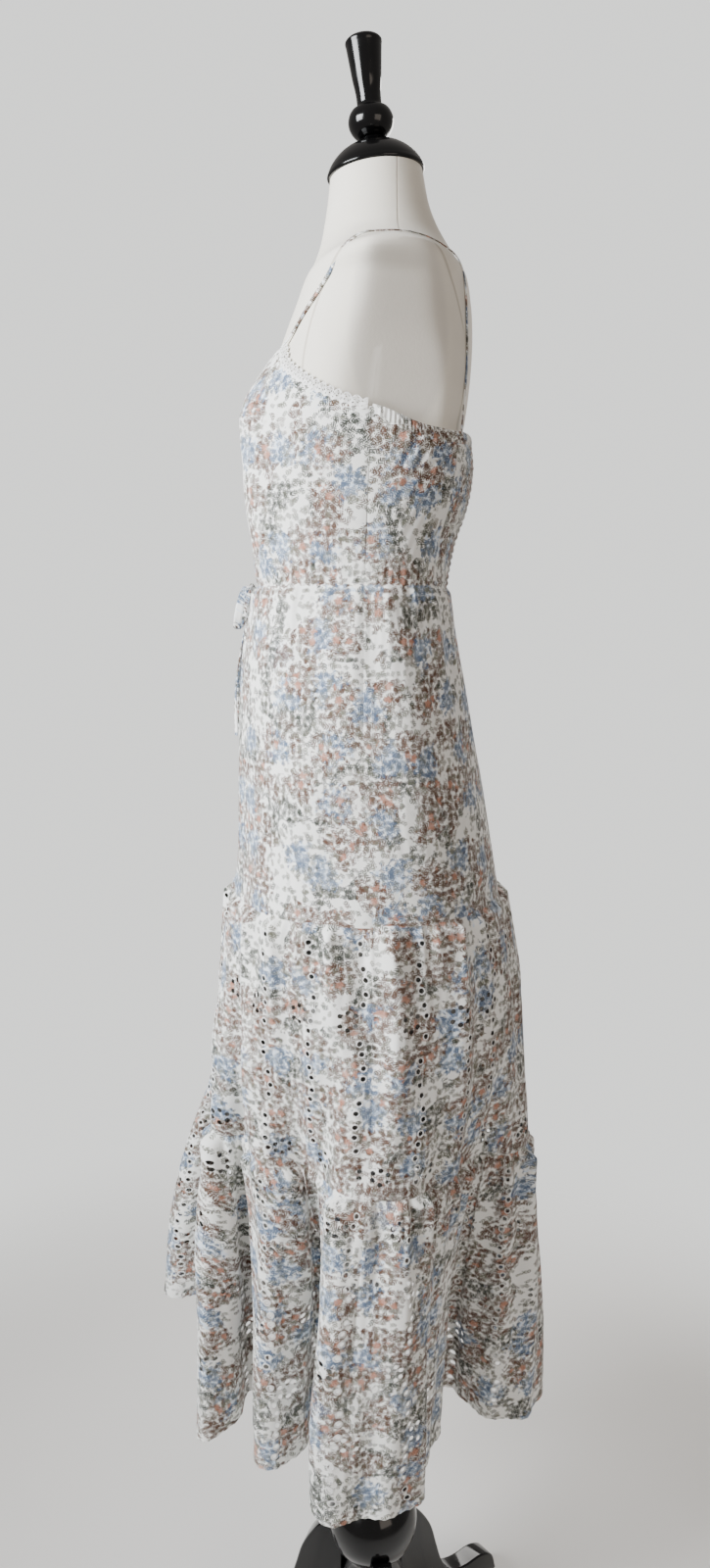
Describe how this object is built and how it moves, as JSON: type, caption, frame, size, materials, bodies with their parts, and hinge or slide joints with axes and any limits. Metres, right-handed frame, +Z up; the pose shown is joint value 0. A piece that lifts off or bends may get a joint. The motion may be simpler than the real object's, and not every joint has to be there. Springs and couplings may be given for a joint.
{
  "type": "midi dress on a limbless dress form and tripod stand",
  "caption": "Printed midi dress with thin straps, lace neckline, smocked back and a tiered gathered eyelet skirt, worn on a limbless ivory dress form with a black neck cap and tripod base.",
  "frame": {"origin": "on the floor, in the middle of the bounding box; the pole's axis is 43.5 mm behind it, at x 0, y +0.0435", "axes": "+Z up from the floor; -Y is the way the wearer faces; +X is the wearer's left"},
  "size_m": [0.427, 0.485, 1.8861],
  "materials": {
    "printed_cotton": "matte",
    "white_cotton": "matte",
    "ivory_linen": "matte",
    "black_lacquer": "gloss",
    "steel": "satin"
  },
  "bodies": {
    "root": {"back_casing": "printed_cotton", "base_hub": "black_lacquer", "bodice_back_smocked": "printed_cotton", "bodice_front_left": "printed_cotton", "bodice_front_right": "printed_cotton", "bodice_side_left": "printed_cotton", "bodice_side_right": "printed_cotton", "finial": "black_lacquer", "form_torso": "ivory_linen", "lace_trim_left": "white_cotton", "lace_trim_right": "white_cotton", "leg_1": "black_lacquer", "leg_2": "black_lacquer", "leg_3": "black_lacquer", "neck_cap": "black_lacquer", "pole": "steel", "skirt_lining_back": "white_cotton", "skirt_lining_front": "white_cotton", "skirt_tier_1_back": "printed_cotton", "skirt_tier_1_front": "printed_cotton", "skirt_tier_2_back": "printed_cotton", "skirt_tier_2_front": "printed_cotton", "skirt_tier_3_back": "printed_cotton", "skirt_tier_3_front": "printed_cotton", "strap_left": "printed_cotton", "strap_right": "printed_cotton", "tie_knot": "printed_cotton", "tie_loop_left": "printed_cotton", "tie_loop_right": "printed_cotton", "tie_tail_left": "printed_cotton", "tie_tail_right": "printed_cotton"}
  },
  "joints": []
}
